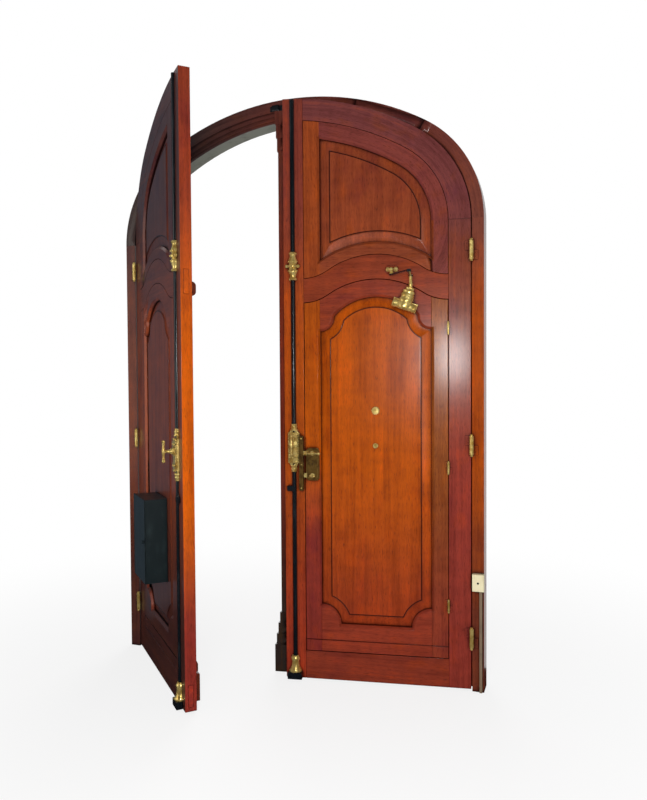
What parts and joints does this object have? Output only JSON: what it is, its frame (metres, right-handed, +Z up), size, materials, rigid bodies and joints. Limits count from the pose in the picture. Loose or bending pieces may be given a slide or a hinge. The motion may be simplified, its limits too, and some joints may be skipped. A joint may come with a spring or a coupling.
{
  "type": "arched double entrance door",
  "caption": "Arched mahogany double entrance door in its frame, with fielded panels, cremone bolts, a letter box and a wicket door with lock and closer.",
  "frame": {"origin": "on the floor, midway between the jambs, in the plane of the frame's inner face", "axes": "+X to the right seen from the room, +Y out of the house, +Z up"},
  "size_m": [1.9825, 0.8515, 2.95],
  "materials": {
    "mahogany": "glossy varnish",
    "lining": "grey paint",
    "brass": "polished, a little worn",
    "black_iron": "black gloss paint",
    "box_paint": "dark green gloss paint",
    "cream_plastic": "smooth"
  },
  "bodies": {
    "frame": {"left_jamb": "mahogany", "right_jamb": "mahogany", "frame_arch": "mahogany", "outer_lining": "lining", "head_keep": "black_iron", "left_frame_hinges": "brass", "right_frame_hinges": "brass", "contact_box": "cream_plastic", "cable_cover": "cream_plastic"},
    "left_leaf": {"left_lead_stile": "mahogany", "left_hang_stile": "mahogany", "left_arch_rail": "mahogany", "left_mid_rail": "mahogany", "left_bottom_rail": "mahogany", "left_upper_frame": "mahogany", "left_upper_panel": "mahogany", "left_leaf_hinges": "brass", "left_bolt_case": "brass", "left_bolt_guides": "brass", "left_outer_trim": "mahogany", "left_lower_frame": "mahogany", "left_lower_panel": "mahogany", "letter_box": "box_paint"},
    "right_leaf": {"right_lead_stile": "mahogany", "right_hang_stile": "mahogany", "right_arch_rail": "mahogany", "right_mid_rail": "mahogany", "right_bottom_rail": "mahogany", "right_upper_frame": "mahogany", "right_upper_panel": "mahogany", "right_leaf_hinges": "brass", "right_bolt_case": "brass", "right_bolt_guides": "brass", "right_outer_trim": "mahogany", "astragal": "mahogany", "wicket_frame_hinges": "brass", "lock_keep": "brass", "closer_bracket": "brass"},
    "wicket": {"wicket_lock_stile": "mahogany", "wicket_hinge_stile": "mahogany", "wicket_top_rail": "mahogany", "wicket_bottom_rail": "mahogany", "wicket_panel": "mahogany", "wicket_leaf_hinges": "brass", "wicket_pull": "brass", "lock_case": "brass", "closer_body": "brass"},
    "left_handle": {"left_bolt_handle": "brass"},
    "left_upper_bolt": {"left_upper_rod": "black_iron"},
    "left_lower_bolt": {"left_lower_rod": "black_iron"},
    "right_handle": {"right_bolt_handle": "brass"},
    "right_upper_bolt": {"right_upper_rod": "black_iron"},
    "right_lower_bolt": {"right_lower_rod": "black_iron"},
    "letter_door": {"letter_box_door": "box_paint"},
    "lever": {"lock_lever": "brass"},
    "latch": {"latch_bolt": "brass"},
    "thumb_turn": {"thumb_turn": "brass"},
    "dead_bolt": {"dead_bolt": "brass"},
    "closer_arm": {"closer_arm": "black_iron"},
    "closer_link": {"closer_link": "black_iron"}
  },
  "joints": [
    {"name": "left_leaf_hinge", "type": "hinge", "parent": "frame", "child": "left_leaf", "pos_m": [-0.9325, -0.011, 1.192], "axis": [0, 0, -1], "range_deg": [-34, 55]},
    {"name": "right_leaf_hinge", "type": "hinge", "parent": "frame", "child": "right_leaf", "pos_m": [0.9325, -0.011, 1.192], "axis": [0, 0, 1], "range_deg": [-9.4, 90]},
    {"name": "wicket_hinge", "type": "hinge", "parent": "right_leaf", "child": "wicket", "pos_m": [0.82522, -0.0242, 1.082], "axis": [0, 0, 1], "range_deg": [0, 80]},
    {"name": "letter_door_hinge", "type": "hinge", "parent": "left_leaf", "child": "letter_door", "pos_m": [-0.72863, -0.33521, 0.726], "axis": [0, 0, -1], "range_deg": [0, 100]},
    {"name": "left_handle_turn", "type": "hinge", "parent": "left_leaf", "child": "left_handle", "pos_m": [-0.3337, -0.63798, 1.185], "axis": [-0.6997, -0.7145, 0], "range_deg": [0, 180]},
    {"name": "left_upper_bolt_slide", "type": "slide", "parent": "left_leaf", "child": "left_upper_bolt", "axis": [0, 0, 1], "range_m": [0, 0.028]},
    {"name": "left_lower_bolt_slide", "type": "slide", "parent": "left_leaf", "child": "left_lower_bolt", "axis": [0, 0, -1], "range_m": [0, 0.028]},
    {"name": "right_handle_turn", "type": "hinge", "parent": "right_leaf", "child": "right_handle", "pos_m": [0.08237, -0.18113, 1.185], "axis": [0.1633, -0.9866, 0], "range_deg": [0, 180]},
    {"name": "right_upper_bolt_slide", "type": "slide", "parent": "right_leaf", "child": "right_upper_bolt", "axis": [0, 0, 1], "range_m": [0, 0.028]},
    {"name": "right_lower_bolt_slide", "type": "slide", "parent": "right_leaf", "child": "right_lower_bolt", "axis": [0, 0, -1], "range_m": [0, 0.028]},
    {"name": "lever_turn", "type": "hinge", "parent": "wicket", "child": "lever", "pos_m": [0.17545, -0.15559, 1.142], "axis": [0.1633, -0.9866, 0], "range_deg": [0, 35]},
    {"name": "latch_slide", "type": "slide", "parent": "wicket", "child": "latch", "axis": [0.9866, 0.1633, 0], "range_m": [0, 0.012]},
    {"name": "thumb_turn_turn", "type": "hinge", "parent": "wicket", "child": "thumb_turn", "pos_m": [0.17545, -0.15559, 1.032], "axis": [0.1633, -0.9866, 0], "range_deg": [0, 90]},
    {"name": "dead_bolt_slide", "type": "slide", "parent": "wicket", "child": "dead_bolt", "axis": [-0.9866, -0.1633, 0], "range_m": [0, 0.016]},
    {"name": "closer_arm_turn", "type": "hinge", "parent": "wicket", "child": "closer_arm", "pos_m": [0.65373, -0.07033, 1.999], "axis": [0, 0, 1], "range_deg": [-167, 0]},
    {"name": "closer_link_turn", "type": "hinge", "parent": "closer_arm", "child": "closer_link", "pos_m": [0.67822, -0.21831, 2.005], "axis": [0, 0, 1], "range_deg": [0, 69]}
  ],
  "couplings": [
    {"joint": "left_handle_turn", "follows": "left_upper_bolt_slide", "rad_per_m": 112.1},
    {"joint": "left_lower_bolt_slide", "follows": "left_upper_bolt_slide", "ratio": 1},
    {"joint": "right_handle_turn", "follows": "right_upper_bolt_slide", "rad_per_m": 112.1},
    {"joint": "right_lower_bolt_slide", "follows": "right_upper_bolt_slide", "ratio": 1},
    {"joint": "lever_turn", "follows": "latch_slide", "rad_per_m": 50.8},
    {"joint": "thumb_turn_turn", "follows": "dead_bolt_slide", "rad_per_m": 98.1},
    {"joint": "closer_arm_turn", "follows": "wicket_hinge", "ratio": -2.08},
    {"joint": "closer_link_turn", "follows": "wicket_hinge", "ratio": 0.86}
  ]
}
